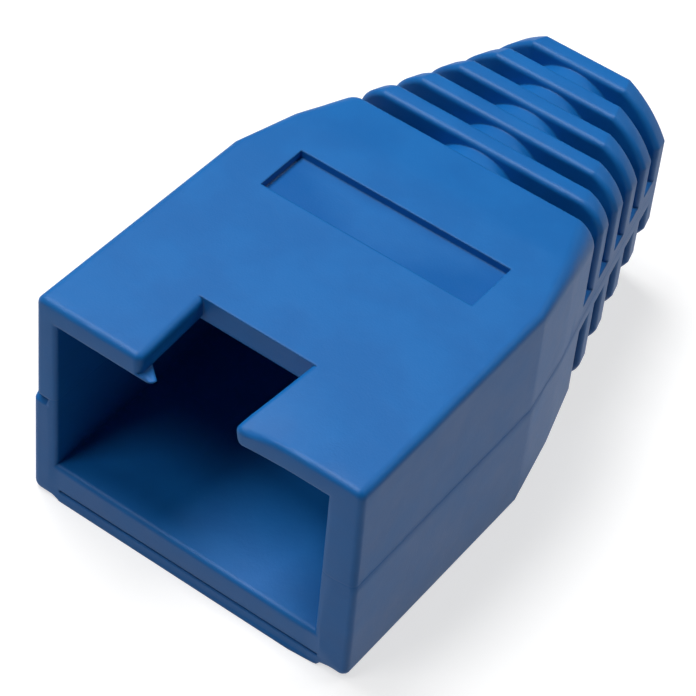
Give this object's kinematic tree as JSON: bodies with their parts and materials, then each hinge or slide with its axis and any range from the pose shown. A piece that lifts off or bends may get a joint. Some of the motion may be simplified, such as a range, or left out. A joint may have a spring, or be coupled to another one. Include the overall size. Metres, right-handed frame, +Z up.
{
  "type": "rj45 strain relief boot",
  "caption": "Soft one-piece boot for an RJ45 plug: a rectangular mouth with a latch gap, tapering to a ribbed tail that grips a round network cable.",
  "frame": {"origin": "middle of the bounding box's foot: the boot stands on the flat underside of its rectangular part", "axes": "+Y along the cable from the mouth to the tail, +Z up towards the latch gap, X across the width"},
  "size_m": [0.0142, 0.0242, 0.01],
  "materials": {
    "boot": "soft satin moulded PVC, blue"
  },
  "bodies": {
    "root": {"boot": "boot"}
  },
  "joints": []
}
